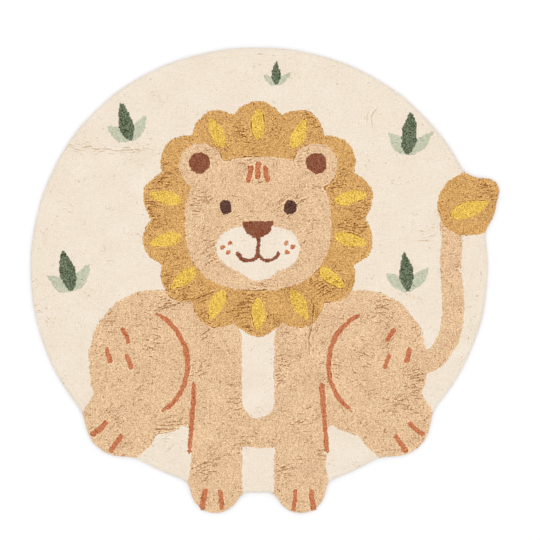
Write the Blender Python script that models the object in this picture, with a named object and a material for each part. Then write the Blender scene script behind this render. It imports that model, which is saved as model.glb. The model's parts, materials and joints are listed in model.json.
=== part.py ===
"""A round tufted rug for a child's room, with the four paws and the tail of a lion that break its rim.

It lies flat on the floor: its origin is the middle of the round field at floor level, +Z is up through
the pile, and +Y points to the top of the picture. One closed solid: backing and pile are one piece of work.
"""

import math

import bmesh
import bpy
from mathutils import Vector, noise
from mathutils.geometry import delaunay_2d_cdt
from mathutils.kdtree import KDTree

# Driving dimensions, in metres.
FIELD_WIDTH = 1.135
FIELD_HEIGHT = 1.105
THICKNESS = 0.016
RIM_MIDDLE = 0.006  # height at which the pile reaches furthest out
FOOT_INSET = 0.006  # from the furthest pile in to the edge of the backing on the floor
CROWN_INSET = 0.012  # from the furthest pile in to the level top

# Discs that break the rim: the bearing of their middles from +X, how far out they lie, and their radius.
RIM_LOBES = (
    {"name": "left_fore_paw", "bearing": 259.0, "distance": 0.556, "radius": 0.061},
    {"name": "right_fore_paw", "bearing": 281.0, "distance": 0.556, "radius": 0.061},
    {"name": "left_hind_paw", "bearing": 228.0, "distance": 0.508, "radius": 0.088},
    {"name": "right_hind_paw", "bearing": 312.0, "distance": 0.508, "radius": 0.088},
    {"name": "tail_tuft", "bearing": 17.0, "distance": 0.545, "radius": 0.070},
    {"name": "tail_tip", "bearing": 19.0, "distance": 0.608, "radius": 0.024},
)
LOBE_FILLET = 0.026  # how softly a lobe runs into the round rim

# The round field was cut by hand: slow waves in its radius, as shares of it.
RIM_WAVES = (
    {"turns": 3, "share": 0.0040, "phase": 0.9},
    {"turns": 5, "share": 0.0022, "phase": 2.4},
    {"turns": 23, "share": 0.0008, "phase": 0.3},
)

# The pile stands unevenly: the width of each kind of lump, how high and low it goes, and a seed for its places.
PILE_LUMPS = (
    {"width": 0.150, "height": 0.0016, "seed": 0.15},
    {"width": 0.055, "height": 0.0012, "seed": 7.40},
)

# Where the rug was folded for packing the pile still parts. Ends of each line, and the trough's size.
PACKING_CREASES = (
    {"name": "upper_left", "ends": ((-0.485, 0.300), (-0.205, 0.292)), "half_width": 0.014, "depth": 0.0020},
    {"name": "below_middle", "ends": ((0.150, 0.010), (0.125, -0.215)), "half_width": 0.014, "depth": 0.0020},
    {"name": "lower_left", "ends": ((-0.300, -0.110), (-0.080, -0.050)), "half_width": 0.014, "depth": 0.0016},
)

# How finely the solid is faceted.
RIM_POINTS = 280
RIM_SAMPLES = 3600
RADIUS_LIMIT = 0.700  # no part of the rim lies this far from the middle
RADIUS_HALVINGS = 16
LOWER_RIM_STEPS = 2
UPPER_RIM_STEPS = 4
TOP_SPACING = 0.022
GRID_CLEARANCE = 0.012
MERGE_DISTANCE = 1e-6
SHARP_ANGLE = 50.0

CREAM = (0.88, 0.77, 0.63, 1.0)
PILE_ROUGHNESS = 1.0


def clear_scene():
    """Starts from an empty file."""
    for obj in list(bpy.data.objects):
        bpy.data.objects.remove(obj)


def field_radius(bearing):
    """The round field's radius towards a bearing: an ellipse with the hand-cut waves."""
    across, along = FIELD_WIDTH / 2, FIELD_HEIGHT / 2
    ellipse = across * along / math.hypot(along * math.cos(bearing), across * math.sin(bearing))
    waves = sum(wave["share"] * math.sin(wave["turns"] * bearing + wave["phase"]) for wave in RIM_WAVES)
    return ellipse * (1 + waves)


def soft_min(first, second, fillet):
    """The smaller of two distances, with the corner between them rounded over."""
    overlap = max(fillet - abs(first - second), 0.0) / fillet
    return min(first, second) - fillet * overlap * overlap / 4


def rim_gap(place):
    """How far a place lies outside the rug's outline, or below 0 inside it."""
    gap = place.length - field_radius(math.atan2(place.y, place.x))
    for lobe in RIM_LOBES:
        bearing = math.radians(lobe["bearing"])
        middle = Vector((math.cos(bearing), math.sin(bearing))) * lobe["distance"]
        gap = soft_min(gap, (place - middle).length - lobe["radius"], LOBE_FILLET)
    return gap


def rim_radius(bearing):
    """How far out the rim lies towards a bearing, found by halving."""
    towards = Vector((math.cos(bearing), math.sin(bearing)))
    inside, outside = 0.0, RADIUS_LIMIT
    for _ in range(RADIUS_HALVINGS):
        middle = (inside + outside) / 2
        if rim_gap(towards * middle) < 0:
            inside = middle
        else:
            outside = middle
    return inside


def rim_outline():
    """Evenly spaced points round the rug, anticlockwise, each with the direction straight out from the rim."""
    bearings = [2 * math.pi * step / RIM_SAMPLES for step in range(RIM_SAMPLES)]
    dense = [Vector((math.cos(b), math.sin(b))) * rim_radius(b) for b in bearings]
    walked = [0.0]
    for here, after in zip(dense, dense[1:] + dense[:1]):
        walked.append(walked[-1] + (after - here).length)
    points = []
    sample = 0
    for step in range(RIM_POINTS):
        target = walked[-1] * step / RIM_POINTS
        while walked[sample + 1] < target:
            sample += 1
        share = (target - walked[sample]) / (walked[sample + 1] - walked[sample])
        points.append(dense[sample].lerp(dense[(sample + 1) % RIM_SAMPLES], share))
    outwards = []
    for step, _ in enumerate(points):
        along = points[(step + 1) % RIM_POINTS] - points[step - 1]
        outwards.append(Vector((along.y, -along.x)).normalized())
    return points, outwards


def crease_depth(crease, place):
    """How far a packing crease lowers the pile at a place: deepest along its line, running out at its ends."""
    start, end = Vector(crease["ends"][0]), Vector(crease["ends"][1])
    line = end - start
    share = (place - start).dot(line) / line.length_squared
    if not 0 < share < 1:
        return 0.0
    off_line = (place - start - share * line).length / crease["half_width"]
    return crease["depth"] * math.exp(-off_line * off_line) * math.sin(math.pi * share)


def pile_height(place):
    """The height of the level top at a place, with its lumps and creases."""
    height = THICKNESS
    for lump in PILE_LUMPS:
        spot = Vector((place.x / lump["width"], place.y / lump["width"], lump["seed"]))
        height += lump["height"] * noise.noise(spot)
    return height - sum(crease_depth(crease, place) for crease in PACKING_CREASES)


def rim_section():
    """(inset, share of the full height) from the floor round to the level top, as two quarter rounds."""
    section = []
    low = RIM_MIDDLE / THICKNESS
    for step in range(LOWER_RIM_STEPS):
        turn = math.pi / 2 * (1 - step / LOWER_RIM_STEPS)
        section.append((FOOT_INSET * (1 - math.cos(turn)), low * (1 - math.sin(turn))))
    for step in range(UPPER_RIM_STEPS + 1):
        turn = math.pi / 2 * step / UPPER_RIM_STEPS
        section.append((CROWN_INSET * (1 - math.cos(turn)), low + (1 - low) * math.sin(turn)))
    return section


def top_grid(crown_loop):
    """Points of a triangular grid over the level top, clear of the loop of points round it."""
    nearest = KDTree(len(crown_loop))
    for index, point in enumerate(crown_loop):
        nearest.insert(point.to_3d(), index)
    nearest.balance()
    row_height = TOP_SPACING * math.sqrt(3) / 2
    reach = max(point.length for point in crown_loop)
    rows = int(reach / row_height) + 1
    columns = int(reach / TOP_SPACING) + 1
    found = []
    for row in range(-rows, rows + 1):
        for column in range(-columns, columns + 1):
            place = Vector(((column + 0.5 * (row % 2)) * TOP_SPACING, row * row_height))
            if rim_gap(place) < -CROWN_INSET and nearest.find(place.to_3d())[2] > GRID_CLEARANCE:
                found.append(place)
    return found


def add_rim(bm, points, outwards):
    """The rounded rim as rings of faces, and the rings' corners from the floor up."""
    rings = []
    for inset, share in rim_section():
        ring = []
        for point, out in zip(points, outwards):
            place = point - out * inset
            ring.append(bm.verts.new((place.x, place.y, pile_height(place) * share)))
        rings.append(ring)
    for lower, upper in zip(rings, rings[1:]):
        for step in range(RIM_POINTS):
            after = (step + 1) % RIM_POINTS
            bm.faces.new((lower[step], lower[after], upper[after], upper[step]))
    return rings


def add_top(bm, crown):
    """The level top inside the crown ring: triangles over an even grid, raised by the lumps and creases."""
    loop = [corner.co.to_2d() for corner in crown]
    flat = loop + top_grid(loop)
    sides = [(step, (step + 1) % len(loop)) for step in range(len(loop))]
    points, _, triangles, _, _, _ = delaunay_2d_cdt(flat, sides, [list(range(len(loop)))], 1, MERGE_DISTANCE)
    corners = [bm.verts.new((point.x, point.y, pile_height(point))) for point in points]
    for triangle in triangles:
        bm.faces.new([corners[index] for index in triangle])


def make_rug():
    """The rug as one closed mesh: rim, level top and flat underside."""
    points, outwards = rim_outline()
    bm = bmesh.new()
    rings = add_rim(bm, points, outwards)
    add_top(bm, rings[-1])
    bm.faces.new(reversed(rings[0]))
    bmesh.ops.remove_doubles(bm, verts=bm.verts, dist=MERGE_DISTANCE)
    bmesh.ops.recalc_face_normals(bm, faces=bm.faces)
    mesh = bpy.data.meshes.new("lion_rug")
    bm.to_mesh(mesh)
    bm.free()
    mesh.shade_smooth()
    mesh.set_sharp_from_angle(angle=math.radians(SHARP_ANGLE))
    rug = bpy.data.objects.new("lion_rug", mesh)
    bpy.context.collection.objects.link(rug)
    return rug


def pile_material():
    """Matt cream cut pile, the colour of the ground round the picture."""
    material = bpy.data.materials.new("cream_pile")
    material.use_nodes = True
    shader = material.node_tree.nodes["Principled BSDF"]
    shader.inputs["Base Color"].default_value = CREAM
    shader.inputs["Roughness"].default_value = PILE_ROUGHNESS
    shader.inputs["Metallic"].default_value = 0.0
    material.diffuse_color = CREAM
    return material


def main():
    clear_scene()
    rug = make_rug()
    rug.data.materials.append(pile_material())


main()
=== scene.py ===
# %% [markdown]
# # A tufted rug for a child's room
#
# The real rug is cotton yarn, punched through a woven cloth from behind and then cut to one height. So it
# has two kinds of piece: the ground cloth that everything is anchored in, and the pile, which is tens of
# thousands of short yarn tufts. The picture isn't printed: each colour in it is a yarn of its own.
#
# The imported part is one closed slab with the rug's outline and its softly uneven top. Here the slab is
# taken as the mould: the cloth is cut to its foot, and each tuft reaches up to its surface.

import json
import math

import bmesh
import bpy
import numpy as np
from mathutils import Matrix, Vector
from mathutils.bvhtree import BVHTree
from mathutils.kdtree import KDTree

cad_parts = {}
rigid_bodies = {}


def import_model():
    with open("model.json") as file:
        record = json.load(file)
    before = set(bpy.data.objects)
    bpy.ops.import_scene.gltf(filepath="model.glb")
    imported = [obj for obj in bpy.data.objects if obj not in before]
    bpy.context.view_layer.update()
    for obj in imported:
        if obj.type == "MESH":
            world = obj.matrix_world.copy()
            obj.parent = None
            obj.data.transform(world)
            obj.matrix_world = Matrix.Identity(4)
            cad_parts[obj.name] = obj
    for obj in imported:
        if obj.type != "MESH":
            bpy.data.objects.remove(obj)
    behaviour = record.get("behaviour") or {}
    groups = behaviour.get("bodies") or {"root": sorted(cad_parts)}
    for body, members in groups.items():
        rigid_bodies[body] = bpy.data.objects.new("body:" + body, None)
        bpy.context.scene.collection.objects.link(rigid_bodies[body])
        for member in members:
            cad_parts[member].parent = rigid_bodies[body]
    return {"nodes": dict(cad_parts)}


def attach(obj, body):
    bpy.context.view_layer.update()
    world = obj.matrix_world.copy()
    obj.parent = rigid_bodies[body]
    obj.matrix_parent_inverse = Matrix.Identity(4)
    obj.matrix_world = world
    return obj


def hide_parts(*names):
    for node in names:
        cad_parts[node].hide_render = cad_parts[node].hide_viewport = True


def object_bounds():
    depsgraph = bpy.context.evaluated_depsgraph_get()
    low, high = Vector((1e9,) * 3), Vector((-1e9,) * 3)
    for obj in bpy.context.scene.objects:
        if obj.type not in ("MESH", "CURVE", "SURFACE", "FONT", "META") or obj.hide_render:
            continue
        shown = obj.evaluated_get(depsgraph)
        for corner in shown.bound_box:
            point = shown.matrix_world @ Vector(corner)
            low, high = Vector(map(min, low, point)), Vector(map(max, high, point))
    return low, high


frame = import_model()
cad_low, cad_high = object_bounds()
rug_node = frame["nodes"]["lion_rug"]
MILLIMETRE = 0.001


def in_mm(length):
    """A length as millimetres, for printing."""
    return round(float(length) / MILLIMETRE, 2)


print("the rug is", [in_mm(side) for side in cad_high - cad_low], "mm")

# %% [markdown]
# ## The camera, the floor and the light
#
# The rug was photographed from straight above, on white, in even light. A long lens high over it gives
# the same flat view. The middle of the picture isn't the middle of the rug's round field, so the camera
# stands a little to the right of it. The floor is a plain pale sheet. Many lamps could light it evenly,
# but a pale sky does what a studio's white walls do, and leaves only a thin soft shade round the rug. One
# broad lamp, almost straight overhead, lights the tops of the tufts a little more than the pile between
# them.

# %% Aim the camera
PICTURE_WIDTH = 1.3414  # metres of floor from side to side of the photograph
CAMERA_PLACE = (0.0298, -0.0025)  # metres from the middle of the round field
LENS_MM = 85.0


def in_scene(name, data):
    """A new object of a mesh, a lamp or a camera, linked to the scene."""
    made = bpy.data.objects.new(name, data)
    bpy.context.scene.collection.objects.link(made)
    return made


camera_data = bpy.data.cameras.new("camera")
camera_data.lens = LENS_MM
half_angle_slope = camera_data.sensor_width / 2 / LENS_MM
camera_height = PICTURE_WIDTH / 2 / half_angle_slope + cad_high.z
camera = in_scene("camera", camera_data)
camera.location = (*CAMERA_PLACE, camera_height)
bpy.context.scene.camera = camera
print("camera height", round(camera_height, 3), "m")

# %% Lay the floor
FLOOR_SIZE = 60.0
FLOOR_DROP = 0.0004  # keeps the floor clear of the cloth that lies on it
FLOOR_WHITE = (0.764, 0.766, 0.773, 1.0)
FLOOR_ROUGHNESS = 0.9


def as_mesh(name, shape):
    """A mesh of a finished bmesh, which is then freed."""
    mesh = bpy.data.meshes.new(name)
    shape.to_mesh(mesh)
    shape.free()
    return mesh


floor_shape = bmesh.new()
bmesh.ops.create_grid(floor_shape, x_segments=1, y_segments=1, size=FLOOR_SIZE / 2)
bmesh.ops.translate(floor_shape, verts=floor_shape.verts, vec=(0, 0, -FLOOR_DROP))
floor = in_scene("floor", as_mesh("floor", floor_shape))

floor_material = bpy.data.materials.new("studio_floor")
floor_material.use_nodes = True
floor_shader = floor_material.node_tree.nodes["Principled BSDF"]
floor_shader.inputs["Base Color"].default_value = FLOOR_WHITE
floor_shader.inputs["Roughness"].default_value = FLOOR_ROUGHNESS
floor_shader.inputs["Specular IOR Level"].default_value = 0.0
floor.data.materials.append(floor_material)
print("the floor is", FLOOR_SIZE, "m across")

# %% Hang the lamps
SKY_STRENGTH = 1.1
WHITE = (1.0, 1.0, 1.0, 1.0)
KEY_POWER = 35.2
KEY_SIZE = 2.4
KEY_PLACE = (0.05, 0.12, 3.2)

sky = bpy.data.worlds.new("sky")
sky.use_nodes = True
background = sky.node_tree.nodes["Background"]
background.inputs["Color"].default_value = WHITE
background.inputs["Strength"].default_value = SKY_STRENGTH
bpy.context.scene.world = sky

key_data = bpy.data.lights.new("key", "AREA")
key_data.shape = "DISK"
key_data.size = KEY_SIZE
key_data.energy = KEY_POWER
key = in_scene("key", key_data)
key.location = KEY_PLACE
key.rotation_euler = (-Vector(KEY_PLACE)).to_track_quat("-Z", "Y").to_euler()

bpy.context.scene.view_settings.view_transform = "Standard"
bpy.context.scene.view_settings.look = "None"
print("the lamp hangs", round(Vector(KEY_PLACE).length, 2), "m from the rug's middle")

# %% [markdown]
# ## The mould
#
# The slab's mesh arrives as loose triangles. A copy is merged, so that it can be cut: a level cut where
# the slab is widest gives the rug's outline. A search tree over the outline tells how far in from the rim
# any place lies, and a tree over the faces tells how high the pile stands there. The outline could be
# written down again as numbers, but then the two shapes might part one day. Measured, they can't.

# %% Cut the outline from the slab
MERGE_DISTANCE = 1e-5
WIDEST_HEIGHT = 0.0061  # just over the ring of points where the pile reaches furthest out
OUTLINE_STEP = 0.0015


def merged_slab():
    """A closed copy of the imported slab."""
    slab = bmesh.new()
    slab.from_mesh(rug_node.data)
    bmesh.ops.remove_doubles(slab, verts=slab.verts, dist=MERGE_DISTANCE)
    return slab


def level_cut(height):
    """The corners of the slab's outline at a height, anticlockwise."""
    slab = merged_slab()
    everything = slab.verts[:] + slab.edges[:] + slab.faces[:]
    cut = bmesh.ops.bisect_plane(slab, geom=everything, plane_co=(0, 0, height), plane_no=(0, 0, 1))
    corners = [part.co.to_2d() for part in cut["geom_cut"] if isinstance(part, bmesh.types.BMVert)]
    slab.free()
    return sorted(corners, key=lambda corner: math.atan2(corner.y, corner.x))


corners = level_cut(WIDEST_HEIGHT)
outline = []
for here, after in zip(corners, corners[1:] + corners[:1]):
    steps = max(1, round((after - here).length / OUTLINE_STEP))
    outline += [here.lerp(after, step / steps) for step in range(steps)]
outline = np.array(outline)

# %% Measure from the rim
TINY = 1e-6  # keeps divisions clear of 0

rim_tree = KDTree(len(outline))
for index, (x, y) in enumerate(outline):
    rim_tree.insert((x, y, 0), index)
rim_tree.balance()
outline_bearing = np.arctan2(outline[:, 1], outline[:, 0])
outline_radius = np.hypot(outline[:, 0], outline[:, 1])
turn_order = np.argsort(outline_bearing)
print("the rim lies", in_mm(outline_radius.min()), "to", in_mm(outline_radius.max()), "mm out")


def from_rim(x, y):
    """How far in from the rim places lie, below 0 outside, and the way out to it as unit steps."""
    bearing = np.arctan2(y, x)
    known = outline_bearing[turn_order], outline_radius[turn_order]
    side = np.where(np.hypot(x, y) < np.interp(bearing, *known, period=2 * math.pi), 1.0, -1.0)
    nearest = np.array([rim_tree.find((px, py, 0))[1] for px, py in zip(x, y)])
    away = outline[nearest] - np.stack([x, y], axis=1)
    distance = np.hypot(away[:, 0], away[:, 1])
    out = away / np.maximum(distance, TINY)[:, None] * side[:, None]
    return side * distance, out


# %% Measure the pile's height
RAY_START = 1.0  # well over the rug

slab_shape = merged_slab()
slab_tree = BVHTree.FromBMesh(slab_shape)
print("the mould has", len(slab_shape.faces), "faces")
slab_shape.free()


def pile_top(x, y):
    """The height of the slab's surface at places, or of its widest ring where they lie outside it."""
    heights = np.full(len(x), WIDEST_HEIGHT)
    for index, (px, py) in enumerate(zip(x, y)):
        hit = slab_tree.ray_cast(Vector((px, py, RAY_START)), Vector((0, 0, -1)))[0]
        if hit is not None:
            heights[index] = max(hit.z, WIDEST_HEIGHT)
    return heights


# %% [markdown]
# ## The ground cloth
#
# The yarn is punched through a plain-woven cotton cloth, which shows only underneath. It is cut from the
# slab's own foot: the flat faces on the floor are kept, the rest is deleted, and the sheet is extruded up
# to the cloth's thickness. Modelled threads would take more faces than the whole pile, so its finish is a
# pattern: two sets of waves take turns on top, as threads over and under each other do in a plain weave.
# The lower a place lies on the threads, the darker it is painted, as shade in the weave's hollows.

# %% Cut the cloth
CLOTH_THICKNESS = 0.0025
FLOOR_LEVEL = 1e-4
FLAT_ANGLE = 0.001  # radians; faces that meet flatter than this become one


def cut_cloth():
    """The foot of the slab as a thin closed sheet."""
    cloth = merged_slab()
    upper = [face for face in cloth.faces if max(corner.co.z for corner in face.verts) > FLOOR_LEVEL]
    bmesh.ops.delete(cloth, geom=upper, context="FACES")
    bmesh.ops.dissolve_limit(cloth, angle_limit=FLAT_ANGLE, verts=cloth.verts, edges=cloth.edges)
    grown = bmesh.ops.extrude_face_region(cloth, geom=cloth.faces[:], use_keep_orig=True)
    raised = [part for part in grown["geom"] if isinstance(part, bmesh.types.BMVert)]
    bmesh.ops.translate(cloth, verts=raised, vec=(0, 0, CLOTH_THICKNESS))
    bmesh.ops.triangulate(cloth, faces=cloth.faces)
    bmesh.ops.recalc_face_normals(cloth, faces=cloth.faces)
    return cloth


ground_cloth = in_scene("ground_cloth", as_mesh("ground_cloth", cut_cloth()))

# %% A few words for making materials
COTTON_SHINE = 0.04  # cotton hardly mirrors anything
SHEEN_ROUGHNESS = 0.6


def add_node(tree, kind, **sockets):
    """A node of a kind, with the values that its named inputs start from."""
    made = tree.nodes.new(kind)
    for name, value in sockets.items():
        made.inputs[name.replace("_", " ")].default_value = value
    return made


def do_maths(tree, operation, *values):
    """A Math node on values, each a number or another node's output."""
    made = tree.nodes.new("ShaderNodeMath")
    made.operation = operation
    for socket, value in zip(made.inputs, values):
        if isinstance(value, bpy.types.NodeSocket):
            tree.links.new(value, socket)
        else:
            socket.default_value = value
    return made.outputs[0]


def matt_material(name, sheen, tint):
    """A rough cloth-like material, whose sheen has a tint, with its node tree and its shader."""
    material = bpy.data.materials.new(name)
    material.use_nodes = True
    shader = material.node_tree.nodes["Principled BSDF"]
    shader.inputs["Roughness"].default_value = 1.0
    shader.inputs["Specular IOR Level"].default_value = COTTON_SHINE
    shader.inputs["Specular Tint"].default_value = (*tint, 1.0)
    shader.inputs["Sheen Tint"].default_value = (*tint, 1.0)
    shader.inputs["Sheen Weight"].default_value = sheen
    shader.inputs["Sheen Roughness"].default_value = SHEEN_ROUGHNESS
    return material, material.node_tree, shader


# %% Weave the cloth
THREAD_PITCH = 0.0021
CANVAS_LIGHT = (0.72, 0.62, 0.47, 1.0)
# painted shade: the colour of the weave's hollows between threads
CANVAS_HOLLOW_SHADE = (0.42, 0.33, 0.22, 1.0)
HOLLOW_SHADE_TOP = 0.5  # how high on a thread the painted shade of the weave's hollows gives way to the cloth's own colour
CANVAS_SHEEN = 0.1
SLUBS = {"Scale": 240.0, "Detail": 3.0}  # thicker and thinner places in the threads
CANVAS_BUMP = {"Strength": 0.7, "Distance": 0.0005}


def canvas_material():
    """Plain-woven natural cotton: warp and weft take turns on top."""
    material, tree, shader = matt_material("cotton_canvas", CANVAS_SHEEN, CANVAS_LIGHT[:3])
    place = tree.nodes.new("ShaderNodeTexCoord").outputs["Object"]
    axes = tree.nodes.new("ShaderNodeSeparateXYZ")
    tree.links.new(place, axes.inputs[0])
    turns = [do_maths(tree, "MULTIPLY", axes.outputs[axis], math.pi / THREAD_PITCH) for axis in (0, 1)]
    waves = [do_maths(tree, "SINE", turn) for turn in turns]
    ridges = [do_maths(tree, "ABSOLUTE", wave) for wave in waves]
    warp_on_top = do_maths(tree, "GREATER_THAN", do_maths(tree, "MULTIPLY", *waves), 0.0)
    weave = tree.nodes.new("ShaderNodeMix")
    tree.links.new(warp_on_top, weave.inputs["Factor"])
    tree.links.new(ridges[0], weave.inputs["A"])
    tree.links.new(ridges[1], weave.inputs["B"])
    slubs = add_node(tree, "ShaderNodeTexNoise", **SLUBS)
    tree.links.new(place, slubs.inputs["Vector"])
    thread_height = do_maths(tree, "MULTIPLY", weave.outputs["Result"], slubs.outputs["Fac"])
    # painted shade: the cloth is drawn darker where its threads lie lower, in the weave's hollows
    hollow_shade_ramp = tree.nodes.new("ShaderNodeValToRGB")
    hollow_shade_ramp.color_ramp.elements[0].color = CANVAS_HOLLOW_SHADE
    hollow_shade_ramp.color_ramp.elements[1].color = CANVAS_LIGHT
    hollow_shade_ramp.color_ramp.elements[1].position = HOLLOW_SHADE_TOP
    tree.links.new(thread_height, hollow_shade_ramp.inputs["Fac"])
    tree.links.new(hollow_shade_ramp.outputs["Color"], shader.inputs["Base Color"])
    bump = add_node(tree, "ShaderNodeBump", **CANVAS_BUMP)
    tree.links.new(thread_height, bump.inputs["Height"])
    tree.links.new(bump.outputs["Normal"], shader.inputs["Normal"])
    return material


ground_cloth.data.materials.append(canvas_material())
print("threads lie", in_mm(THREAD_PITCH), "mm apart")

# %% [markdown]
# ## Shapes for the picture
#
# The picture is a plan: for each place on the rug it says which yarn is punched there. It could be a
# painted image, but then its edges would be steps. Here a shape is a function that gives, for a place, a
# number below 0 inside the shape and above 0 outside. Few kinds are needed for a simple picture: a disc,
# an oval, a limb with round ends, a pointed leaf and a scalloped ring. A later shape covers an earlier
# one, as in a collage.

# %% Discs, ovals, limbs and lines


def disc(middle, radius):
    """A round."""
    return lambda x, y: np.hypot(x - middle[0], y - middle[1]) - radius


def oval(middle, half_width, half_height, squareness=2.0):
    """An oval, or with a squareness over 2 an oval with fuller corners."""

    def gap(x, y):
        across = np.abs(x - middle[0]) / half_width
        along = np.abs(y - middle[1]) / half_height
        reach = (across**squareness + along**squareness) ** (1 / squareness)
        return (reach - 1) * min(half_width, half_height)

    return gap


def limb(start, end, start_radius, end_radius):
    """A bar with round ends, which may be thicker at one end."""
    run_x, run_y = end[0] - start[0], end[1] - start[1]

    def gap(x, y):
        share = ((x - start[0]) * run_x + (y - start[1]) * run_y) / (run_x**2 + run_y**2)
        share = np.clip(share, 0.0, 1.0)
        away = np.hypot(x - start[0] - share * run_x, y - start[1] - share * run_y)
        return away - start_radius - share * (end_radius - start_radius)

    return gap


def line(points, half_width, end_share=1.0):
    """A line of even width through points, or with an end share under 1 a line that thins at its ends."""
    halves = [half_width * end_share, *[half_width] * (len(points) - 2), half_width * end_share]
    ends = zip(points, points[1:], halves, halves[1:])
    limbs = [limb(here, after, half, next_half) for here, after, half, next_half in ends]
    return lambda x, y: np.minimum.reduce([part(x, y) for part in limbs])


# %% Leaves and scallops
LEAF_BELLY = 0.8  # under 1 a leaf is widest nearer its root than its tip
LEAF_FULLNESS = 0.75  # under 1 its sides are fuller


def leaf(root, bearing, length, width):
    """A pointed leaf that grows from its root towards a bearing."""
    turn = math.radians(bearing)

    def gap(x, y):
        along = (x - root[0]) * math.cos(turn) + (y - root[1]) * math.sin(turn)
        across = (y - root[1]) * math.cos(turn) - (x - root[0]) * math.sin(turn)
        share = np.clip(along / length, 0.0, 1.0)
        half = width / 2 * np.sin(math.pi * share**LEAF_BELLY) ** LEAF_FULLNESS
        return np.maximum(np.abs(across) - half, np.maximum(-along, along - length))

    return gap


def scallops(middle, radius, depth, count):
    """A disc with a rim of round scallops."""

    def gap(x, y):
        bearing = np.arctan2(y - middle[1], x - middle[0])
        swell = depth * np.abs(np.sin(bearing * count / 2))
        return np.hypot(x - middle[0], y - middle[1]) - radius - swell

    return gap


def below(shape, level):
    """The part of a shape under a level line."""
    return lambda x, y: np.maximum(shape(x, y), y - level)


# %% Points on rounds
ARC_STEPS = 10
CORNER_CUTS = {"rounds": 2, "shares": (0.25, 0.75)}


def towards(bearing, distance, middle=(0.0, 0.0)):
    """The point at a distance from a middle, towards a bearing in degrees."""
    turn = math.radians(bearing)
    return (middle[0] + distance * math.cos(turn), middle[1] + distance * math.sin(turn))


def arc(middle, half_width, half_height, first, last):
    """Points along part of an oval, from one bearing to another."""
    turns = [math.radians(first + (last - first) * step / ARC_STEPS) for step in range(ARC_STEPS + 1)]
    return [(middle[0] + half_width * math.cos(t), middle[1] + half_height * math.sin(t)) for t in turns]


def rounded(points):
    """The same open line with its corners cut off twice, which makes it a smooth curve."""
    for _ in range(CORNER_CUTS["rounds"]):
        cut = [points[0]]
        for here, after in zip(points, points[1:]):
            for share in CORNER_CUTS["shares"]:
                cut.append((here[0] + share * (after[0] - here[0]), here[1] + share * (after[1] - here[1])))
        points = cut + [points[-1]]
    return points


# %% Shapes and drawn lines go into the picture
LINE_HALF_WIDTH = 0.0056
TAPER = 0.55  # how thin a long line gets at its ends
picture = []
drawn_lines = []


def tuft_in(yarn, shape):
    """Adds a shape to the picture, over what is there."""
    picture.append((yarn, shape))


def draw(yarn, points, half_width=LINE_HALF_WIDTH, end_share=1.0):
    """Adds a line to the picture. Its tufts will stand in rows along it."""
    drawn_lines.append({"shape": len(picture), "points": points, "half_width": half_width})
    tuft_in(yarn, line(points, half_width, end_share))


def stroke(middle, bearing, length):
    """The ends of a short drawn line."""
    return [towards(bearing, reach, middle) for reach in (-length / 2, length / 2)]


def mirrored(place, side):
    """A place as given, right of the picture's middle, or with a side of -1 its twin on the left."""
    return (side * place[0], place[1])


# %% [markdown]
# ## The picture
#
# A lion sits facing the viewer, on a cream field with fans of leaves. Its paws and the end of its tail
# break the round rim, so their places come from the same bearings as the slab's. It is built up like a
# toy's sewing pattern: the things furthest back first. The size of an oval is its half width and its half
# height, and "out" is how far something lies from the middle of the rug or of the head.

# %% Leaves on the field
LEAF_FANS = (
    {"root": (-0.318, 0.318), "lean": 97, "size": 0.98},
    {"root": (0.372, 0.285), "lean": 80, "size": 1.05},
    {"root": (-0.462, -0.055), "lean": 97, "size": 1.05},
    {"root": (0.372, -0.055), "lean": 88, "size": 1.00},
    {"root": (0.045, 0.455), "lean": 84, "size": 0.62},
)
FAN_LEAVES = (
    {"yarn": "light_green", "spread": 52, "length": 0.070, "width": 0.030},
    {"yarn": "light_green", "spread": -40, "length": 0.078, "width": 0.031},
    {"yarn": "dark_green", "spread": 6, "length": 0.100, "width": 0.037},
)
for fan in LEAF_FANS:
    for blade in FAN_LEAVES:
        length, width = blade["length"] * fan["size"], blade["width"] * fan["size"]
        tuft_in(blade["yarn"], leaf(fan["root"], fan["lean"] + blade["spread"], length, width))
print("leaves:", len(picture))

# %% Tail and tuft
TAIL_BEARING = 17
TAIL_ROUTE = ((0.33, -0.25), (0.43, -0.235), (0.478, -0.17), (0.487, -0.09), (0.478, -0.01), (0.482, 0.07))
TAIL_OUT = 0.50  # how far from the rug's middle the tan part ends
TAIL_HALF_WIDTH = 0.027
TAIL_TUFT = ({"turn": 0, "out": 0.545, "radius": 0.077}, {"turn": 2, "out": 0.608, "radius": 0.034})
TAIL_PETAL = {"turn": -1.5, "out": 0.497, "lean": 2, "length": 0.100, "width": 0.040}

tuft_in("tan", line(rounded([*TAIL_ROUTE, towards(TAIL_BEARING, TAIL_OUT)]), TAIL_HALF_WIDTH))
for part in TAIL_TUFT:
    tuft_in("ochre", disc(towards(TAIL_BEARING + part["turn"], part["out"]), part["radius"]))
petal_root = towards(TAIL_BEARING + TAIL_PETAL["turn"], TAIL_PETAL["out"])
petal_bearing = TAIL_BEARING + TAIL_PETAL["lean"]
tuft_in("gold", leaf(petal_root, petal_bearing, TAIL_PETAL["length"], TAIL_PETAL["width"]))
print("with the tail:", len(picture), "shapes")

# %% Body, haunches and hind paws
BODY = {"middle": (0, -0.20), "size": (0.29, 0.245)}
HAUNCH = {"middle": (0.262, -0.232), "size": (0.160, 0.180)}
KNEE_LINE = {"middle": (0.300, -0.238), "size": (0.125, 0.135), "bearings": (112, 238)}
HIND_PAW = {"turn": 42, "out": 0.508, "radius": 0.094}  # turn: degrees to each side of straight down
HIND_LEG = {"start": (0.26, -0.30), "end_out": 0.48, "radius": 0.090}
HIND_TOES = {"out": 0.556, "aside": 0.026}
TOE_FAN = 4
TOE_LENGTH = 0.037

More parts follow.
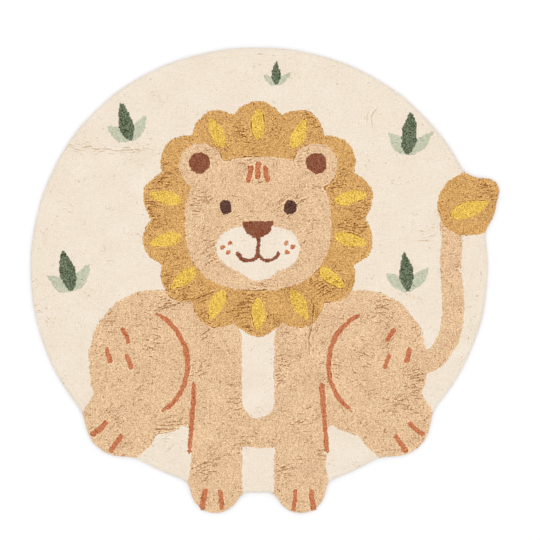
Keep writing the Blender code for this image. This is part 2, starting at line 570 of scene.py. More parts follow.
tuft_in("tan", oval(BODY["middle"], *BODY["size"]))
for side in (-1, 1):
    down = 270 + side * HIND_PAW["turn"]
    hip, heel = mirrored(HIND_LEG["start"], side), towards(down, HIND_LEG["end_out"])
    knee = mirrored(KNEE_LINE["middle"], side)
    tuft_in("tan", oval(mirrored(HAUNCH["middle"], side), *HAUNCH["size"]))
    tuft_in("tan", disc(towards(down, HIND_PAW["out"]), HIND_PAW["radius"]))
    tuft_in("tan", limb(hip, heel, HIND_LEG["radius"], HIND_LEG["radius"]))
    draw("rust", arc(knee, *mirrored(KNEE_LINE["size"], side), *KNEE_LINE["bearings"]), end_share=TAPER)
    for toe in (-1, 1):
        knuckle = towards(down + 90, toe * HIND_TOES["aside"], towards(down, HIND_TOES["out"]))
        draw("rust", stroke(knuckle, down + toe * TOE_FAN, TOE_LENGTH))
print("with the body:", len(picture), "shapes")

# %% Chest, front legs, front paws, and hair marks on the haunches
CHEST = {"middle": (0, -0.235), "size": (0.062, 0.135)}
FRONT_PAW = {"turn": 11, "out": 0.548, "radius": 0.066}
SHOULDER = {"place": (0.098, -0.18), "radius": 0.058}
FRONT_LEG_LINE = ((0.159, -0.285), (0.163, -0.37), (0.172, -0.455))
FRONT_TOES = {"turn_out": 0.008, "aside": 0.020, "down": 0.034}
HAIR_MARKS = (
    {"place": (0.330, -0.165), "slant": 62},
    {"place": (0.372, -0.215), "slant": 76},
    {"place": (0.320, -0.230), "slant": 68},
)
HAIR_MARK_LENGTH = 0.030

tuft_in("cream", oval(CHEST["middle"], *CHEST["size"]))
for side in (-1, 1):
    paw = towards(270 + side * FRONT_PAW["turn"], FRONT_PAW["out"])
    shoulder = mirrored(SHOULDER["place"], side)
    tuft_in("tan", limb(shoulder, paw, SHOULDER["radius"], FRONT_PAW["radius"]))
    draw("rust", rounded([mirrored(place, side) for place in FRONT_LEG_LINE]), end_share=TAPER)
    for toe in (-1, 1):
        toe_x = paw[0] + side * FRONT_TOES["turn_out"] + toe * FRONT_TOES["aside"]
        draw("rust", stroke((toe_x, paw[1] - FRONT_TOES["down"]), 90 + toe * TOE_FAN, TOE_LENGTH))
    for mark in HAIR_MARKS:
        slant = mark["slant"] if side > 0 else 180 - mark["slant"]
        draw("rust", stroke(mirrored(mark["place"], side), slant, HAIR_MARK_LENGTH))
print("with the legs:", len(picture), "shapes")

# %% Mane
HEAD = (0.0, 0.125)
MANE = {"radius": 0.266, "depth": 0.028, "count": 14}
GOLD_LOCK = {"out": 0.196, "length": 0.082, "width": 0.034}
EAR_BEARINGS = (45, 135)
EAR_ROOM = 14  # degrees on each side of an ear that stay free of gold locks

tuft_in("ochre", scallops(HEAD, **MANE))
for lock in range(MANE["count"]):
    bearing = (lock + 0.5) * 360 / MANE["count"]
    if min(abs(bearing - ear) for ear in EAR_BEARINGS) > EAR_ROOM:
        lock_root = towards(bearing, GOLD_LOCK["out"], HEAD)
        tuft_in("gold", leaf(lock_root, bearing, GOLD_LOCK["length"], GOLD_LOCK["width"]))
print("with the mane:", len(picture), "shapes")

# %% Ears, face and nose
# Places on the face are measured from the middle of the head.
EAR = {"middle": (0.142, 0.132), "radius": 0.056}
INNER_EAR = {"middle": (0.146, 0.138), "radius": 0.026}
FACE = {"middle": (0, -0.012), "size": (0.182, 0.166), "squareness": 2.5}
MUZZLE = {"middle": (0.043, -0.074), "size": (0.060, 0.053)}
CHIN = {"middle": (0, -0.112), "size": (0.052, 0.040)}
NOSE = {"middle": (0, -0.012), "size": (0.038, 0.036), "top": (0, -0.006)}


def on_face(place, side=1):
    """A place that is measured from the middle of the head, or its twin on the other side."""
    return (HEAD[0] + side * place[0], HEAD[1] + place[1])


for side in (-1, 1):
    tuft_in("tan", disc(on_face(EAR["middle"], side), EAR["radius"]))
    tuft_in("brown", disc(on_face(INNER_EAR["middle"], side), INNER_EAR["radius"]))
tuft_in("tan", oval(on_face(FACE["middle"]), *FACE["size"], FACE["squareness"]))
for side in (-1, 1):
    tuft_in("cream", oval(on_face(MUZZLE["middle"], side), *MUZZLE["size"]))
tuft_in("cream", oval(on_face(CHIN["middle"]), *CHIN["size"]))
tuft_in("brown", below(oval(on_face(NOSE["middle"]), *NOSE["size"]), on_face(NOSE["top"])[1]))
print("with the head:", len(picture), "shapes")

# %% Mouth, eyes, dots and brow
LIP_LINE = ((0, -0.045), (0, -0.082))
SMILE = {"middle": (0.025, -0.082), "size": (-0.025, 0.022), "bearings": (0, -165), "half_width": 0.0050}
EYE = {"middle": (0.080, 0.028), "length": 0.007, "half_width": 0.0145}
DOTS = ((0.070, -0.060), (0.088, -0.070), (0.074, -0.084))
DOT_RUN = 0.001  # a whisker's dot is a line that hardly gets anywhere
DOT_HALF_WIDTH = 0.0060
BROW = {"pitch": 0.021, "height": 0.120, "drop": 0.010, "fan": 10, "length": 0.032}

draw("brown", [on_face(place) for place in LIP_LINE])
for side in (-1, 1):
    smile = arc(on_face(SMILE["middle"], side), *mirrored(SMILE["size"], side), *SMILE["bearings"])
    draw("brown", smile, SMILE["half_width"])
    draw("dark_brown", stroke(on_face(EYE["middle"], side), 90, EYE["length"]), EYE["half_width"])
    for dot in DOTS:
        draw("rust", stroke(on_face(dot, side), 0, DOT_RUN), DOT_HALF_WIDTH)
for step in (-1, 0, 1):
    place = (step * BROW["pitch"], BROW["height"] - BROW["drop"] * abs(step))
    draw("rust", stroke(on_face(place), 90 + step * BROW["fan"], BROW["length"]))
print("the picture has", len(picture), "shapes, of which", len(drawn_lines), "are drawn lines")

# %% [markdown]
# ## Which yarn goes where
#
# Tufters follow the edge of each colour first and fill it afterwards, so that edges come out clean. A
# grid of tufts alone would cut every curve into steps. So for each place the plan also gives how far the
# nearest change of yarn lies and which way leads from it. A tuft too near an edge is then settled about
# half a row inside, but not all by the same amount, because a hand guides the tool: real edges are finely
# ragged. The tufts just behind it are drawn a little nearer, so that no gap opens along the edge.

# %% Random hills
WAVES_IN_HILLS = 28
WAVE_WIDTHS = (0.7, 1.5)  # of the single waves, as shares of the hills' width


def hills(seed, width):
    """A function that gives smooth random hills of about unit height, and their slopes, at places."""
    draw_from = np.random.default_rng(seed)
    bearing = draw_from.uniform(0, 2 * math.pi, WAVES_IN_HILLS)
    pace = 2 * math.pi / (width * draw_from.uniform(*WAVE_WIDTHS, WAVES_IN_HILLS))
    phase = draw_from.uniform(0, 2 * math.pi, WAVES_IN_HILLS)
    size = math.sqrt(2 / WAVES_IN_HILLS)
    pace_x, pace_y = pace * np.cos(bearing), pace * np.sin(bearing)

    def height_and_slope(x, y):
        angle = np.outer(x, pace_x) + np.outer(y, pace_y) + phase
        rise = -size * np.sin(angle)
        return size * np.cos(angle).sum(axis=1), np.stack([rise @ pace_x, rise @ pace_y])

    return height_and_slope


def hill_level(hill, x, y, seed_step=0):
    """How high the hills of a seed and a width are at places."""
    return hills(hill["seed"] + seed_step, hill["width"])(x, y)[0]


# %% Read the plan
YARNS = ("cream", "tan", "ochre", "gold", "dark_green", "light_green", "rust", "brown", "dark_brown")
FAR = 1.0
SLOPE_STEP = 1e-4
LEAST_SLOPE = 0.2
# Drawn edges waver: how far, over what length, and a seed for each kind.
WAVERS = (
    {"reach": 0.0009, "width": 0.050, "seed": 61},
    {"reach": 0.0003, "width": 0.014, "seed": 71},
)


def wavered(x, y):
    """Places moved as a hand would move them."""
    for waver in WAVERS:
        x = x + waver["reach"] * hill_level(waver, x, y)
        y = y + waver["reach"] * hill_level(waver, x, y, 1)
    return x, y


def edge_of(shape, x, y):
    """How far places lie outside a shape, true near its edge, and the way out as unit steps."""
    here = shape(x, y)
    slope = np.stack([shape(x + SLOPE_STEP, y) - here, shape(x, y + SLOPE_STEP) - here]) / SLOPE_STEP
    steepness = np.maximum(np.hypot(*slope), LEAST_SLOPE)
    return here / steepness, slope / steepness


def read_plan(x, y):
    """For each place its yarn, the shape that shows, the distance to other yarn and the way from it."""
    x, y = wavered(x, y)
    yarn = np.zeros(len(x), dtype=int)
    shown = np.full(len(x), -1)
    room = np.full(len(x), FAR)
    inward = np.zeros((2, len(x)))
    for index, (name, shape) in enumerate(picture):
        number = YARNS.index(name)
        gap, out = edge_of(shape, x, y)
        inside, alike = gap < 0, yarn == number
        closer = inside & ~alike | inside & alike & (-gap > room)
        passed = ~inside & ~alike & (gap < room)
        room = np.where(closer, -gap, np.where(passed, gap, room))
        inward = np.where(closer, -out, np.where(passed, out, inward))
        yarn[inside] = number
        shown[inside] = index
    return yarn, shown, room, inward


middle_yarn = read_plan(np.zeros(1), np.zeros(1))[0][0]
print("in the middle of the rug stands", YARNS[middle_yarn], "yarn")

# %% [markdown]
# ## Where the tufts stand
#
# Tufts strewn at random would leave bald spots. So the field is filled in straight rows, each tuft a
# little off its place, as a hand-held tufting tool leaves them. A drawn line is worked as a few rows
# along itself, or it would come out beaded. And four rows follow the rim, because the edge of such a rug
# is worked last.

# %% Straight rows over the field
TUFT_PITCH = 0.0040
GRID_TURN = 2.0  # degrees; the cloth never lies quite straight on its frame
FIRST_FIELD_ROW = 0.0174  # how far in from the rim the straight rows begin


def field_places():
    """Rows of places over the whole field, clear of the rim rows."""
    reach = outline_radius.max()
    count = int(reach / TUFT_PITCH) + 1
    steps = np.arange(-count, count + 1) * TUFT_PITCH
    x, y = (side.ravel() for side in np.meshgrid(steps, steps))
    turn = math.radians(GRID_TURN)
    x, y = x * math.cos(turn) - y * math.sin(turn), x * math.sin(turn) + y * math.cos(turn)
    near = np.hypot(x, y) < reach
    x, y = x[near], y[near]
    inset, _ = from_rim(x, y)
    kept = inset > FIRST_FIELD_ROW
    return x[kept], y[kept]


field_rows = [(*field_places(), "field", -1)]
print("tufts in straight rows:", len(field_rows[0][0]))

# %% Rows along the rim
RIM_ROWS = (
    {"root": 0.0070, "tip": 0.0008},
    {"root": 0.0092, "tip": 0.0036},
    {"root": 0.0122, "tip": 0.0076},
    {"root": 0.0157, "tip": 0.0115},
)
ROW_PITCH = 0.0038
TUFTER_SEED = 5
rng = np.random.default_rng(TUFTER_SEED)  # another order of draws would move every tuft


def distance_walked(route):
    """How far along a route each of its points lies."""
    return np.concatenate([[0.0], np.cumsum(np.hypot(*np.diff(route, axis=0).T))])


def on_route(route, walked, stops):
    """The points at stops along a route, as a row of x and a row of y."""
    return np.stack([np.interp(stops, walked, route[:, axis]) for axis in (0, 1)])


def rim_places(inset):
    """Places along the rim, a given way in from it."""
    closed = np.vstack([outline, outline[:1]])
    walked = distance_walked(closed)
    count = int(walked[-1] / ROW_PITCH)
    stops = (np.arange(count) + rng.uniform()) * walked[-1] / count
    points = on_route(closed, walked, stops)
    along = np.roll(points, -1, axis=1) - np.roll(points, 1, axis=1)
    along /= np.hypot(*along)
    return points[0] - inset * along[1], points[1] + inset * along[0]


rim_rows = [(*rim_places(row["root"]), "rim", -1) for row in RIM_ROWS]
print("tufts in rows along the rim:", sum(len(row[0]) for row in rim_rows))

# %% Rows along the drawn lines
END_CLEARANCE = 0.0002  # no tuft is rooted nearer than this to a line's edge
LOOK_AHEAD = 1e-4  # how far ahead and back a line's way is measured
DOT_RING = {"tufts": 6, "distance": 0.0034}  # a dot has one tuft in its middle and a ring round it


def dot_places(middle):
    """A tuft in the middle of a dot and a ring of tufts round it."""
    turns = np.arange(DOT_RING["tufts"]) * 2 * math.pi / DOT_RING["tufts"]
    ring = DOT_RING["distance"] * np.stack([np.cos(turns), np.sin(turns)])
    return middle[:, None] + np.concatenate([np.zeros((2, 1)), ring], axis=1)


def line_places(drawn):
    """Rows of places along a drawn line, run on into its round ends."""
    points = np.array(drawn["points"])
    half = drawn["half_width"]
    if np.hypot(*(points[-1] - points[0])) <= DOT_RUN:
        return dot_places(points.mean(axis=0))
    first, last = points[1] - points[0], points[-1] - points[-2]
    before = points[0] - half * first / np.hypot(*first)
    beyond = points[-1] + half * last / np.hypot(*last)
    points = np.vstack([before, points, beyond])
    walked = distance_walked(points)
    count = int(walked[-1] / ROW_PITCH)
    rows = round(2 * half / ROW_PITCH)
    stops = (np.arange(count) + 0.5) * walked[-1] / count
    here, ahead = (on_route(points, walked, stops + step) for step in (-LOOK_AHEAD, LOOK_AHEAD))
    along = (ahead - here) / np.hypot(*(ahead - here))
    aside = [(row - (rows - 1) / 2) * 2 * half / rows for row in range(rows)]
    found = [(here + ahead) / 2 + reach * np.array([-along[1], along[0]]) for reach in aside]
    x, y = np.concatenate(found, axis=1)
    kept = picture[drawn["shape"]][1](x, y) < -END_CLEARANCE
    x, y = x[kept], y[kept]
    moved_x, moved_y = wavered(x, y)
    return 2 * x - moved_x, 2 * y - moved_y


line_rows = [(*line_places(drawn), "line", drawn["shape"]) for drawn in drawn_lines]
print("tufts in rows along drawn lines:", sum(len(row[0]) for row in line_rows))

# %% Set all the places
# A straight row gives way to a drawn line, and a line's own rows give way to whatever covers the line.
places = field_rows + rim_rows + line_rows
root_x, root_y = (np.concatenate([row[axis] for row in places]) for axis in (0, 1))
row_kind = np.concatenate([[row[2]] * len(row[0]) for row in places])
row_shape = np.concatenate([[row[3]] * len(row[0]) for row in places])

yarn, shown, room, inward = read_plan(root_x, root_y)
in_line = np.isin(shown, [drawn["shape"] for drawn in drawn_lines])
kept = np.select([row_kind == "field", row_kind == "line"], [~in_line, shown == row_shape], True)
root_x, root_y, yarn, room, row_kind = root_x[kept], root_y[kept], yarn[kept], room[kept], row_kind[kept]
inward = inward[:, kept]
print("places for tufts:", len(root_x))

# %% Settle the tufts beside an edge
PLACE_SLIP = 0.00040  # how far off its place a tuft is punched
EDGE_ROOMS = (0.55, 1.05)  # how far from an edge tufts settle, as shares of half a row
PULL = 0.7  # how much of a gap behind an edge the next tufts make up
PULL_REACH = 0.0022  # and how far from the edge they still do

edge_room = TUFT_PITCH / 2 * rng.uniform(*EDGE_ROOMS, len(root_x))
short = edge_room - room
push = np.where(short > 0, short, PULL * short * np.exp(-((short / PULL_REACH) ** 2)))
push = np.where(row_kind == "field", push, 0.0)
slip = np.where(row_kind == "line", PLACE_SLIP / 2, PLACE_SLIP)
room = room + push
root_x = root_x + push * inward[0] + slip * rng.normal(0, 1, len(root_x))
root_y = root_y + push * inward[1] + slip * rng.normal(0, 1, len(root_x))
for number, name in enumerate(YARNS):
    print(f"{name}: {np.sum(yarn == number)} tufts")

# %% [markdown]
# ## How the tufts lean
#
# Pile never stands to attention. Neighbouring tufts lean together into clumps, and between the clumps it
# parts in short, winding cracks, where the eye looks down into the shadow. Lines drawn at random would
# cross the clumps, so smooth random hills steer it: a crack runs where one set of hills crosses zero, and
# the tufts lean away from it to both sides. The pile also parts along the old packing folds, in fainter
# ripples beside them and, here and there, where two yarns meet. The loosely twisted ochre of the mane
# parts most, and the cream hardly at all. Near the rim all tufts lean outwards, which rounds the edge.

# %% How each yarn lies
# In YARN_LAY the first seven are lengths in millimetres. half: half the width of a tuft's top. wander: how
# far tips stray. dome: how round a top is. cut: how unevenly tufts were cut. swell: how high the clumps
# rise. parting and sink: how far the pile leans from a crack, and how low it is there.
#
# The others are plain numbers. rarity: how rare cracks are. specks: the share of tufts whose own strands
# part, and get a painted shadow speck. ruffled: how much larger that share can get where the pile is
# ruffled.
LENGTH_WORDS = ("half", "wander", "dome", "cut", "swell", "parting", "sink")
NUMBER_WORDS = ("rarity", "specks", "ruffled")
YARN_LAY = {
    "cream": (3.00, 0.25, 0.8, 0.12, 0.25, 0.6, 0.1, 2.6, 0.000, 0.16),
    "tan": (2.85, 0.35, 1.2, 0.20, 0.20, 0.9, 0.2, 1.0, 0.030, 0.30),
    "ochre": (2.80, 0.40, 1.2, 0.25, 0.15, 1.0, 0.2, 0.4, 0.050, 0.55),
    "gold": (2.80, 0.35, 1.2, 0.25, 0.15, 0.9, 0.2, 1.6, 0.030, 0.20),
}
OTHER_LAY = (2.80, 0.35, 1.2, 0.25, 0.15, 0.9, 0.2, 1.6, 0.020, 0.02)


def by_yarn(word):
    """One value of YARN_LAY for every tuft: lengths in metres, other numbers as they are."""
    unit = MILLIMETRE if word in LENGTH_WORDS else 1.0
    column = (LENGTH_WORDS + NUMBER_WORDS).index(word)
    return np.array([YARN_LAY.get(name, OTHER_LAY)[column] * unit for name in YARNS])[yarn]


print("tufts are", in_mm(2 * by_yarn("half").mean()), "mm wide at the top on average")

# %% Packing folds
FOLDS = (
    {"ends": ((-0.485, 0.300), (-0.205, 0.292)), "parting": 0.0005, "seed": 81},
    {"ends": ((0.150, 0.010), (0.125, -0.215)), "parting": 0.0005, "seed": 101},
    {"ends": ((-0.300, -0.110), (-0.080, -0.050)), "parting": 0.0004, "seed": 121},
)
FOLD_REACH = 0.0065
FOLD_WANDER = {"reach": 0.0018, "width": 0.060, "seed": 37}
# The pile cracks along a fold and in fainter ripples beside it.
FOLD_RIPPLES = (
    {"aside": 0.0000, "openness": 1.05, "dash": 0.070},
    {"aside": -0.0050, "openness": 0.20, "dash": 0.030},
    {"aside": 0.0050, "openness": 0.25, "dash": 0.030},
    {"aside": -0.0105, "openness": -0.35, "dash": 0.014},
    {"aside": 0.0105, "openness": -0.25, "dash": 0.014},
    {"aside": 0.0160, "openness": -0.60, "dash": 0.014},
)


def fold_at(x, y, fold):
    """How far places lie to one side of a packing fold, the way across it, and how strong it is there."""
    (start_x, start_y), (end_x, end_y) = fold["ends"]
    run_x, run_y = end_x - start_x, end_y - start_y
    length = math.hypot(run_x, run_y)
    share = ((x - start_x) * run_x + (y - start_y) * run_y) / length**2
    aside = ((y - start_y) * run_x - (x - start_x) * run_y) / length
    aside = aside + FOLD_WANDER["reach"] * hill_level(FOLD_WANDER, x, y)
    strength = np.sqrt(np.sin(math.pi * np.clip(share, 0, 1)))
    return aside, np.array([[-run_y / length], [run_x / length]]), strength


print("packing folds:", len(FOLDS), "of", len(FOLD_RIPPLES), "ripples each")

# %% Cracks between clumps
# spacing: the width of the clumps. turn and stretch: which way cracks like to run, and how much longer
# they are. dash: how long a crack runs before it closes. strictness: how much it closes where it runs
# another way.
CRACKS = (
    {"seed": 21, "spacing": 0.0135, "turn": 18.0, "stretch": 4.5, "dash": 0.009, "strictness": 4.0},
    {"seed": 31, "spacing": 0.0150, "turn": 4.0, "stretch": 3.5, "dash": 0.006, "strictness": 5.0},
)
BEND = {"seed": 39, "width": 0.260, "reach": 0.017}  # bends the ways that cracks run
DASH_WEIGHT = 0.8


def bent(x, y):
    """Places moved so that straight cracks come out bent."""
    shift_x, shift_y = (BEND["reach"] * hill_level(BEND, x, y, step) for step in (0, 1))
    return x + shift_x, y + shift_y


def crack_line(x, y, crack):
    """How far places lie to one side of the nearest crack, the way across it, and how open it is there."""
    cos, sin = math.cos(math.radians(crack["turn"])), math.sin(math.radians(crack["turn"]))

    def along_cracks(x, y):
        bent_x, bent_y = bent(x, y)
        return (bent_x * cos + bent_y * sin) / crack["stretch"], bent_y * cos - bent_x * sin

    level = hills(crack["seed"], crack["spacing"])
    aside, across = edge_of(lambda x, y: level(*along_cracks(x, y))[0], x, y)
    place = along_cracks(x, y)
    _, (rise_along, rise_across) = level(*place)
    lined_up = rise_across**2 / (rise_across**2 + (rise_along / crack["stretch"]) ** 2)
    one_way = np.where(rise_across < 0, -1.0, 1.0)
    run_level, _ = hills(crack["seed"] + 1, crack["dash"])(*place)
    openness = DASH_WEIGHT * run_level - crack["strictness"] * (1 - lined_up)
    return aside * one_way, across * one_way, openness


# %% The crack nearest to each tuft
CRACK_REACH = 0.0026  # tufts rooted this near to a crack lean from it
CRACK_SOFTNESS = 0.9
PATCHES = {"seed": 35, "width": 0.130}  # cracks gather in patches
EDGE_PARTING = {"seed": 91, "width": 0.022}  # how long the pile stays parted where two yarns meet
EDGE_CALM = 0.010  # other cracks fade this near to another yarn
FADE_END = 1.6  # in reaches


def fade(distance, reach):
    """1 near a line, and from there evenly down to 0."""
    return np.clip(FADE_END - distance / reach, 0, 1)


def crack_lines(x, y, rarity):
    """For each family of cracks the distance to one side, the way across, and how open it is."""
    gather = hill_level(PATCHES, x, y) - rarity
    calm = np.clip(room / EDGE_CALM, 0, 1)
    for fold in FOLDS:
        aside, across, strength = fold_at(x, y, fold)
        for number, ripple in enumerate(FOLD_RIPPLES):
            run_level, _ = hills(fold["seed"] + number, ripple["dash"])(x, y)
            yield aside - ripple["aside"], across, (run_level + ripple["openness"]) * strength * calm
    for crack in CRACKS:
        aside, across, run_level = crack_line(x, y, crack)
        yield aside, across, (run_level + gather) / CRACK_SOFTNESS * calm
    yield room, inward, (hill_level(EDGE_PARTING, x, y) + gather) / CRACK_SOFTNESS


def nearest_crack(x, y, rarity):
    """For each place how far it leans from a crack, from 0 to 1, and the crack as crack_lines gives it."""
    leaning, distance, opened = np.zeros(len(x)), np.full(len(x), FAR), np.zeros(len(x))
    way = np.zeros((2, len(x)))
    for aside, across, opening in crack_lines(x, y, rarity):
        openness = np.clip(opening, 0, 1)
        depth = fade(np.abs(aside), CRACK_REACH) * openness
        nearer = depth > leaning
        leaning = np.where(nearer, depth, leaning)
        distance, opened = np.where(nearer, aside, distance), np.where(nearer, openness, opened)
        way = np.where(nearer, across, way)
    return leaning, distance, way, opened


crack, crack_aside, across_crack, crack_openness = nearest_crack(root_x, root_y, by_yarn("rarity"))
print("tufts beside a crack:", int(np.sum(crack > 0)))

# %% The rim
RIM_FADE = 0.016
inset, way_out = from_rim(root_x, root_y)


def rim_lean(inset):
    """How far out a tuft leans, by how far in from the rim it is rooted."""
    roots = [row["root"] for row in RIM_ROWS]
    leans = [row["root"] - row["tip"] for row in RIM_ROWS]
    faded = leans[-1] * np.exp(-(inset - roots[-1]) / RIM_FADE)
    return np.where(inset < roots[-1], np.interp(inset, roots, leans), faded)


print("the outermost tufts lean out by", in_mm(rim_lean(inset).max()), "mm")

# %% Lean the tufts and cut them to height
BORDER_REACH = 0.005  # this near to another yarn tufts lean less
BORDER_LEAN = 0.6  # down to this share
SWELL = {"seed": 51, "width": 0.013}
lean = by_yarn("wander") * rng.normal(0, 1, (2, len(root_x)))
lean += by_yarn("parting") * crack * np.sign(crack_aside) * across_crack
for fold in FOLDS:
    aside, across, strength = fold_at(root_x, root_y, fold)
    lean += fold["parting"] * strength * np.exp(-np.abs(aside) / FOLD_REACH) * np.sign(aside) * across
lean *= np.clip(room / BORDER_REACH, BORDER_LEAN, 1.0)
lean += way_out.T * rim_lean(inset)
tip_x, tip_y = root_x + lean[0], root_y + lean[1]
swell = by_yarn("swell") * (hill_level(SWELL, root_x, root_y) - 1)
tip_z = pile_top(tip_x, tip_y) + swell - by_yarn("sink") * crack
tip_z -= np.abs(by_yarn("cut") * rng.normal(0, 1, len(tip_x)))
print("tips lean", in_mm(np.hypot(*lean).mean()), "mm on average")
print("pile height", in_mm(tip_z.min()), "to", in_mm(tip_z.max()), "mm")

# %% [markdown]
# ## One tuft, many times
#
# A cut tuft is a short brush: fibres held tight in the cloth and a little splayed at the top. Hair
# strands could make it too, but they aren't a mesh, and cut yarn is blunt. So its shape is made once,
# from a cube whose top face is poked up into a low dome. Copying an object sixty thousand times would be
# slow, so the tuft's corners are copied with array arithmetic instead, and all tufts of a yarn become one
# mesh, or two.
#
# Two things travel with each corner: a map with a small square for each tuft, and three values for its
# colour and painted shade. These are the tuft's own tone, the light that gets to the corner, which is less
# the lower it lies and is painted as shade, and how far the corner lies to one side of the nearest crack.
# Between two corners that distance changes evenly, so the material can paint the crack's shadow as a dark
# line much finer than a tuft, where the tufts lean apart.

# %% The shape of a tuft


def make_tuft():
    """A square tuft one unit wide: root at 0, shoulder at 1, point at 2."""
    tuft = bmesh.new()
    bmesh.ops.create_cube(tuft, size=1.0)
    bmesh.ops.translate(tuft, verts=tuft.verts, vec=(0, 0, 0.5))
    top = max(tuft.faces, key=lambda face: face.calc_center_median().z)
    bmesh.ops.poke(tuft, faces=[top], offset=1.0)
    tuft.normal_update()
    return tuft


MAP_TOP = {"middle": 0.32, "size": 0.56}
MAP_SIDE = {"left": 0.04, "pitch": 0.24, "width": 0.20, "foot": 0.66, "height": 0.30}
MAP_FOOT = {"middle": 0.80, "size": 0.24}
MAP_ROW = 0.32  # the top's and the foot's middles lie on one line
SIDE_TILT = 0.1  # a face whose normal points less up or down than this is a side


def lay_out_map(tuft):
    """Unfolds the tuft inside a unit square: its top, its sides as four strips, and its foot."""
    layer = tuft.loops.layers.uv.new("OFBake")
    left = MAP_SIDE["left"]
    for face in tuft.faces:
        middle = face.calc_center_median()
        is_side = abs(face.normal.z) < SIDE_TILT
        place = MAP_TOP if face.normal.z > 0 else MAP_FOOT
        for loop in face.loops:
            x, y, z = loop.vert.co
            if is_side:
                across = y * middle.x * 2 - x * middle.y * 2 + 0.5
                u, v = left + MAP_SIDE["width"] * across, MAP_SIDE["foot"] + MAP_SIDE["height"] * z
            else:
                u, v = place["middle"] + place["size"] * x, MAP_ROW + place["size"] * y
            loop[layer].uv = (u, v)
        if is_side:
            left += MAP_SIDE["pitch"]


tuft_shape = make_tuft()
lay_out_map(tuft_shape)
tuft_mesh = as_mesh("tuft", tuft_shape)
tuft_corners = np.array([corner.co for corner in tuft_mesh.vertices])
tuft_loops = np.array([loop.vertex_index for loop in tuft_mesh.loops])
tuft_starts = np.array([face.loop_start for face in tuft_mesh.polygons])
tuft_map = np.array([point.uv for point in tuft_mesh.uv_layers["OFBake"].data])
tuft_triangles = sum(len(face.vertices) - 2 for face in tuft_mesh.polygons)
bpy.data.meshes.remove(tuft_mesh)
at_shoulder, at_tip = (np.isclose(tuft_corners[:, 2], level) for level in (1, 2))
print("one tuft has", len(tuft_corners), "corners and", tuft_triangles, "triangles")

# %% Size, turn and tone of each tuft
TURN_SPREAD = 0.30  # radians
WIDTH_SPREAD = 0.08  # as a share of the width
TIP_SPREAD = 0.0005
# The tone of a tuft is partly its own and partly shared with its neighbours, as dye and wear are.
TONE = {"middle": 0.60, "own": 0.07}
SHARED_TONES = ({"seed": 41, "width": 0.090, "share": 0.07}, {"seed": 43, "width": 0.016, "share": 0.03})
turn = rng.normal(0, TURN_SPREAD, len(root_x)) + math.radians(GRID_TURN)
width_share = 1 + rng.normal(0, WIDTH_SPREAD, len(root_x))
tip_shift = rng.normal(0, TIP_SPREAD, (2, len(root_x)))
tone_and_shade = TONE["middle"] + TONE["own"] * rng.normal(0, 1, len(root_x))
for shared in SHARED_TONES:
    tone_and_shade = tone_and_shade + shared["share"] * hill_level(shared, root_x, root_y)
tone_and_shade = np.clip(tone_and_shade, 0, 1)
print("tones run from", round(float(tone_and_shade.min()), 2), "to", round(float(tone_and_shade.max()), 2))

# %% [markdown]
# ## Specks and ruffled pile
#
# Here and there one tuft's own strands part, and the shadow between them is painted as a dark speck. Where
# a hand or a knee has ruffled the pile, and beside a packing fold, many tufts do, and there the tufts' tone
# is also painted a little darker, as shade on the ruffled pile. Dots in the finish alone would also fall
# between two tufts. So a speck is a short crack in one tuft's own frame, and it uses the values that cracks
# already have, so that it is painted as their shadow line is.

# %% Part single tufts
RUFFLES = {"seed": 47, "width": 0.060, "level": 0.8}  # hills over this level are ruffled
RUFFLED_FOLD = 0.014  # how far to the sides of a packing fold the pile is ruffled
# painted shade: ruffled pile takes the light less well, so its tufts' tone is drawn this much darker
RUFFLE_SHADE = 0.09
SPECK_TURN_SPREAD = 0.9  # radians; specks run roughly with the cracks
SPECK_ASIDE = 0.001  # how far from the tuft's middle its strands part
SPECK_OPENNESS = (0.35, 1.0)
ruffled = np.clip(hill_level(RUFFLES, root_x, root_y) - RUFFLES["level"], 0, 1)
for fold in FOLDS:
    aside, across, strength = fold_at(root_x, root_y, fold)
    ruffled = np.maximum(ruffled, strength * np.exp(-((aside / RUFFLED_FOLD) ** 2)))
# painted shade on ruffled pile, added to each tuft's tone
tone_and_shade = np.clip(tone_and_shade - RUFFLE_SHADE * ruffled, 0, 1)
chance = by_yarn("specks") + ruffled * by_yarn("ruffled")
# painted shadow: a speck changes no tuft's shape, only the crack values from which its dark line is painted
speck_shadow = (rng.uniform(size=len(root_x)) < chance) & (crack == 0)
speck_turn = math.radians(CRACKS[0]["turn"] + 90) + rng.normal(0, SPECK_TURN_SPREAD, len(root_x))
across_crack = np.where(speck_shadow, [np.cos(speck_turn), np.sin(speck_turn)], across_crack)
crack_aside = np.where(speck_shadow, rng.normal(0, SPECK_ASIDE, len(root_x)), crack_aside)
crack_openness = np.where(speck_shadow, rng.uniform(*SPECK_OPENNESS, len(root_x)), crack_openness)
print("specks:", int(speck_shadow.sum()))

# %% Where the corners of a tuft go
ROOT_HALF_WIDTH = 0.0029
SHOULDER_LEAN = 0.85  # share of the tip's lean that a tuft has at its shoulder
lean_share = np.select([at_shoulder, at_tip], [SHOULDER_LEAN, 1.0], 0.0)
CRACK_HALF_WIDTH = 0.0020  # of the painted shadow line that an open crack draws
NO_CRACK = 9.0  # past this many half widths a crack is out of sight


